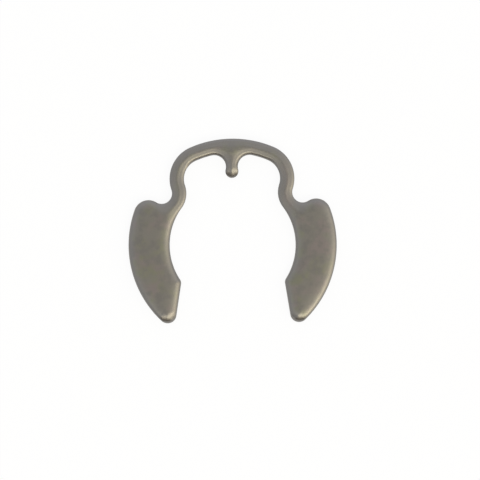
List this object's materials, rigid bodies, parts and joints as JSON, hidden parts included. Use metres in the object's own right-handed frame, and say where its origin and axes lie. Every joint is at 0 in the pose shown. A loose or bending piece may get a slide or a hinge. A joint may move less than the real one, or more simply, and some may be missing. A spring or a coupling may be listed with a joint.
{
  "type": "snap ring",
  "caption": "Flat stamped steel snap ring with crescent arms, a slim sprung bow and a ball-ended prong; it snaps sideways into a shaft groove.",
  "frame": {"origin": "on the axis of the shaft that the arms grip, half way through the strip's thickness", "axes": "+Z along the shaft axis, out of the face with the rolled edges, +Y from the axis to the middle of the bow, -Y out of the mouth, +X across the arms"},
  "size_m": [0.0194, 0.0172, 0.001],
  "materials": {
    "tumbled_steel": "bare spring steel, heat treated and tumbled, dull grey-brown with a thin oil film"
  },
  "bodies": {
    "root": {"snap_ring": "tumbled_steel"}
  },
  "joints": []
}
